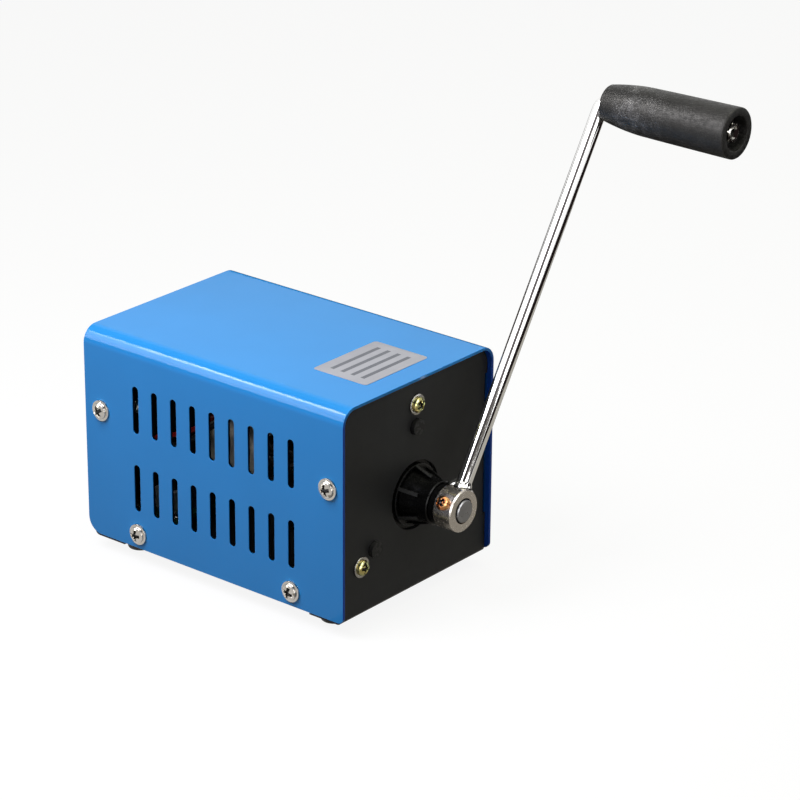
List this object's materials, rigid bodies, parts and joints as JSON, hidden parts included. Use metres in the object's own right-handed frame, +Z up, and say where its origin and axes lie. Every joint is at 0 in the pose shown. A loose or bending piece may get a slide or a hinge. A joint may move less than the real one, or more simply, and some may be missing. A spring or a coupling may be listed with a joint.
{
  "type": "hand crank generator",
  "caption": "Boxy sheet metal generator with a slotted cover, a ribbed nose and a long round crank arm that ends in a turning grip.",
  "frame": {"origin": "on the floor plane under the feet, below the middle of the case", "axes": "+Z up, +X along the case towards the crank, so that -Y is the long side on the left when looking along +X from behind"},
  "size_m": [0.2132, 0.1454, 0.1947],
  "materials": {
    "blue_paint": "fine semi-gloss powder coat",
    "black_paint": "matt black powder coat",
    "nickel": "nickel plated",
    "foot_rubber": "matt",
    "zinc_steel": "bright zinc plated",
    "silver_label": "silver film, satin",
    "black_nylon": "moulded, satin",
    "yellow_zinc": "yellow zinc plated",
    "bronze": "sintered bronze",
    "white_acetal": "moulded, satin",
    "gear_steel": "ground",
    "can_steel": "drawn and zinc plated",
    "brass": "bright",
    "ferrite": "sintered",
    "core_steel": "stacked laminations",
    "copper_wire": "enamelled copper",
    "copper": "turned copper",
    "carbon": "carbon block",
    "shaft_steel": "turned",
    "hub_steel": "turned and nickel plated",
    "chrome_rod": "polished chrome",
    "weld_metal": "plated weld bead",
    "grip_plastic": "moulded, satin",
    "board_green": "solder mask",
    "white_plastic": "moulded",
    "led_lens": "diffused lens",
    "capacitor_sleeve": "shrink sleeve",
    "sink_aluminium": "extruded",
    "red_insulation": "PVC",
    "black_insulation": "PVC"
  },
  "bodies": {
    "case": {"cover": "blue_paint", "chassis": "black_paint", "cover_screws": "nickel", "rubber_feet": "foot_rubber", "foot_screws": "zinc_steel", "label": "silver_label", "gearbox_housing": "black_nylon", "gearbox_back": "black_nylon", "gearbox_washers": "zinc_steel", "gearbox_screws": "yellow_zinc", "back_screws": "zinc_steel", "crank_bushes": "bronze", "ring_gear": "white_acetal", "generator_can": "can_steel", "end_bell": "black_nylon", "terminals": "brass", "magnets": "ferrite", "rotor_bushes": "bronze", "brushes": "carbon", "board": "board_green", "board_fasteners": "zinc_steel", "usb_shell": "nickel", "usb_tongue": "white_plastic", "dc_jack": "black_nylon", "jack_pin": "nickel", "led": "led_lens", "led_bezel": "black_nylon", "capacitors": "capacitor_sleeve", "coil": "ferrite", "heat_sink": "sink_aluminium", "regulator": "black_nylon", "lead_connector": "white_plastic", "red_lead": "red_insulation", "black_lead": "black_insulation"},
    "crank": {"input_carrier": "gear_steel", "input_pins": "gear_steel", "crank_shaft": "shaft_steel", "crank_hub": "hub_steel", "thrust_washer": "black_nylon", "set_screws": "yellow_zinc", "crank_arm": "chrome_rod", "weld": "weld_metal", "grip_washer": "zinc_steel", "grip_nut": "zinc_steel"},
    "grip": {"grip": "grip_plastic"},
    "second_carrier": {"second_carrier": "gear_steel", "second_pins": "gear_steel", "planet_keeper": "gear_steel", "first_sun": "gear_steel"},
    "rotor": {"rotor_pinion": "gear_steel", "rotor_shaft": "gear_steel", "armature": "core_steel", "windings": "copper_wire", "commutator": "copper"},
    "first_planet_1": {"first_planet_1": "white_acetal"},
    "first_planet_2": {"first_planet_2": "white_acetal"},
    "first_planet_3": {"first_planet_3": "white_acetal"},
    "second_planet_1": {"second_planet_1": "white_acetal"},
    "second_planet_2": {"second_planet_2": "white_acetal"},
    "second_planet_3": {"second_planet_3": "white_acetal"}
  },
  "joints": [
    {"name": "crank_spin", "type": "hinge", "parent": "case", "child": "crank", "pos_m": [0.08, 0, 0.045], "axis": [1, 0, 0], "continuous": true},
    {"name": "grip_spin", "type": "hinge", "parent": "crank", "child": "grip", "pos_m": [0.09, 0.08768, 0.18478], "axis": [1, 0, 0], "continuous": true},
    {"name": "second_carrier_spin", "type": "hinge", "parent": "case", "child": "second_carrier", "pos_m": [0.035, 0, 0.045], "axis": [1, 0, 0], "continuous": true},
    {"name": "rotor_spin", "type": "hinge", "parent": "case", "child": "rotor", "pos_m": [0, 0, 0.045], "axis": [1, 0, 0], "continuous": true},
    {"name": "first_planet_1_spin", "type": "hinge", "parent": "crank", "child": "first_planet_1", "pos_m": [0.043, 0, 0.06], "axis": [1, 0, 0], "continuous": true},
    {"name": "first_planet_2_spin", "type": "hinge", "parent": "crank", "child": "first_planet_2", "pos_m": [0.043, -0.01299, 0.0375], "axis": [1, 0, 0], "continuous": true},
    {"name": "first_planet_3_spin", "type": "hinge", "parent": "crank", "child": "first_planet_3", "pos_m": [0.043, 0.01299, 0.0375], "axis": [1, 0, 0], "continuous": true},
    {"name": "second_planet_1_spin", "type": "hinge", "parent": "second_carrier", "child": "second_planet_1", "pos_m": [0.0275, 0, 0.06], "axis": [1, 0, 0], "continuous": true},
    {"name": "second_planet_2_spin", "type": "hinge", "parent": "second_carrier", "child": "second_planet_2", "pos_m": [0.0275, -0.01299, 0.0375], "axis": [1, 0, 0], "continuous": true},
    {"name": "second_planet_3_spin", "type": "hinge", "parent": "second_carrier", "child": "second_planet_3", "pos_m": [0.0275, 0.01299, 0.0375], "axis": [1, 0, 0], "continuous": true}
  ],
  "couplings": [
    {"joint": "second_carrier_spin", "follows": "crank_spin", "ratio": 4},
    {"joint": "rotor_spin", "follows": "crank_spin", "ratio": 16},
    {"joint": "first_planet_1_spin", "follows": "crank_spin", "ratio": -3},
    {"joint": "first_planet_2_spin", "follows": "crank_spin", "ratio": -3},
    {"joint": "first_planet_3_spin", "follows": "crank_spin", "ratio": -3},
    {"joint": "second_planet_1_spin", "follows": "crank_spin", "ratio": -12},
    {"joint": "second_planet_2_spin", "follows": "crank_spin", "ratio": -12},
    {"joint": "second_planet_3_spin", "follows": "crank_spin", "ratio": -12}
  ]
}
